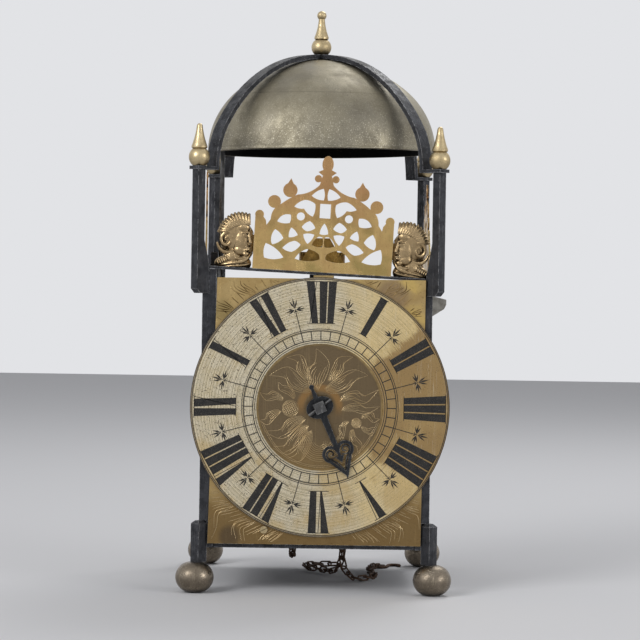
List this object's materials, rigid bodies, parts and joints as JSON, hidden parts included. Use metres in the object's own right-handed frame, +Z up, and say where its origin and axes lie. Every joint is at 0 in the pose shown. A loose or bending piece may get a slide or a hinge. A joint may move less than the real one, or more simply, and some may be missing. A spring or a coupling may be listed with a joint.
{
  "type": "lantern clock",
  "caption": "Lantern clock: a square open iron frame on ball feet with an engraved dial and one hand, pierced frets, a strapped bell on top, and chain-driven going and striking trains.",
  "frame": {"origin": "on the surface the clock stands on, midway between its four ball feet", "axes": "+Z up, the dial faces -Y, +X to the right of a person who looks at the dial"},
  "size_m": [0.1794, 0.1794, 0.387],
  "materials": {
    "blackened_iron": "blue-black worn iron",
    "rusty_iron": "rusty",
    "old_brass": "tarnished",
    "movement_brass": "aged",
    "dial_brass": "dark patina",
    "fret_brass": "brown patina",
    "mask_bronze": "polished bronze",
    "bell_metal": "grey patina",
    "silvered_brass": "worn silvering",
    "worn_steel": "dark worn steel"
  },
  "bodies": {
    "frame": {"ball_feet": "old_brass", "foot_bars": "blackened_iron", "corner_post_front_left": "blackened_iron", "corner_post_front_right": "blackened_iron", "corner_post_rear_left": "blackened_iron", "corner_post_rear_right": "blackened_iron", "pillar_front_left": "blackened_iron", "pillar_front_right": "blackened_iron", "pillar_rear_left": "blackened_iron", "pillar_rear_right": "blackened_iron", "bottom_plate": "blackened_iron", "top_plate": "blackened_iron", "front_bar": "blackened_iron", "middle_bar": "blackened_iron", "rear_bar": "blackened_iron", "dial_plate": "dial_brass", "chapter_ring": "silvered_brass", "dial_screw": "old_brass", "front_fret": "fret_brass", "left_side_fret": "fret_brass", "right_side_fret": "fret_brass", "left_mask": "mask_bronze", "right_mask": "mask_bronze", "bell_strap": "blackened_iron", "bell": "bell_metal", "bell_finial": "old_brass", "bell_nut": "blackened_iron", "pillar_finials": "old_brass", "front_cock": "movement_brass", "rear_cock": "movement_brass", "hammer_stop": "blackened_iron", "studs": "worn_steel", "crown_potence": "blackened_iron", "chain": "worn_steel", "chain_hook": "rusty_iron"},
    "going_great": {"going_great_wheel": "movement_brass", "going_great_arbor": "worn_steel", "going_sprocket": "movement_brass"},
    "second": {"second_wheel": "movement_brass", "second_arbor": "worn_steel"},
    "contrate": {"contrate_wheel": "movement_brass", "contrate_arbor": "worn_steel"},
    "crown": {"crown_wheel": "movement_brass", "crown_arbor": "worn_steel"},
    "verge": {"verge": "worn_steel", "pendulum_rod": "worn_steel", "pendulum_bob": "movement_brass"},
    "hour": {"hour_wheel": "movement_brass", "hour_arbor": "worn_steel", "hour_hand": "worn_steel", "hand_pin": "worn_steel"},
    "strike_great": {"strike_great_wheel": "movement_brass", "strike_great_arbor": "worn_steel", "strike_sprocket": "movement_brass"},
    "hoop": {"hoop_wheel": "movement_brass"},
    "warning": {"warning_wheel": "movement_brass"},
    "fly": {"fly": "worn_steel"},
    "count": {"count_wheel": "movement_brass"},
    "detent": {"release_levers": "blackened_iron"},
    "hammer": {"hammer": "worn_steel"}
  },
  "joints": [
    {"name": "going_great_turn", "type": "hinge", "parent": "frame", "child": "going_great", "pos_m": [0.0026, 0, 0.0926], "axis": [0, 1, 0], "continuous": true},
    {"name": "second_turn", "type": "hinge", "parent": "frame", "child": "second", "pos_m": [0.0026, 0, 0.1276], "axis": [0, 1, 0], "continuous": true},
    {"name": "contrate_turn", "type": "hinge", "parent": "frame", "child": "contrate", "pos_m": [0.0026, 0, 0.1556], "axis": [0, 1, 0], "continuous": true},
    {"name": "crown_turn", "type": "hinge", "parent": "frame", "child": "crown", "pos_m": [0.0026, -0.031, 0.2], "axis": [0, 0, 1], "continuous": true},
    {"name": "verge_swing", "type": "hinge", "parent": "frame", "child": "verge", "pos_m": [0.0026, 0, 0.2256], "axis": [0, 1, 0], "range_deg": [-18, 18]},
    {"name": "hour_turn", "type": "hinge", "parent": "frame", "child": "hour", "pos_m": [0.0026, 0, 0.1214], "axis": [0, 1, 0], "continuous": true},
    {"name": "strike_great_turn", "type": "hinge", "parent": "frame", "child": "strike_great", "pos_m": [0.0026, 0, 0.1006], "axis": [0, 1, 0], "continuous": true},
    {"name": "hoop_turn", "type": "hinge", "parent": "frame", "child": "hoop", "pos_m": [0.0026, 0, 0.1356], "axis": [0, 1, 0], "continuous": true},
    {"name": "warning_turn", "type": "hinge", "parent": "frame", "child": "warning", "pos_m": [0.0026, 0, 0.1608], "axis": [0, 1, 0], "continuous": true},
    {"name": "fly_turn", "type": "hinge", "parent": "frame", "child": "fly", "pos_m": [0.0026, 0, 0.18], "axis": [0, 1, 0], "continuous": true},
    {"name": "count_turn", "type": "hinge", "parent": "frame", "child": "count", "pos_m": [0.0026, 0, 0.1276], "axis": [0, 1, 0], "continuous": true},
    {"name": "detent_lift", "type": "hinge", "parent": "frame", "child": "detent", "pos_m": [0.05, 0, 0.1556], "axis": [0, 1, 0], "range_deg": [0, 12]},
    {"name": "hammer_swing", "type": "hinge", "parent": "frame", "child": "hammer", "pos_m": [-0.056, 0, 0.1556], "axis": [0, 1, 0], "range_deg": [0, 9]}
  ],
  "couplings": [
    {"joint": "second_turn", "follows": "contrate_turn", "ratio": -0.16667},
    {"joint": "going_great_turn", "follows": "contrate_turn", "ratio": 0.027778},
    {"joint": "hour_turn", "follows": "contrate_turn", "ratio": -0.0034722},
    {"joint": "crown_turn", "follows": "contrate_turn", "ratio": 6},
    {"joint": "hoop_turn", "follows": "warning_turn", "ratio": -0.16667},
    {"joint": "strike_great_turn", "follows": "warning_turn", "ratio": 0.027778},
    {"joint": "count_turn", "follows": "warning_turn", "ratio": -0.0042735},
    {"joint": "fly_turn", "follows": "warning_turn", "ratio": -5}
  ]
}
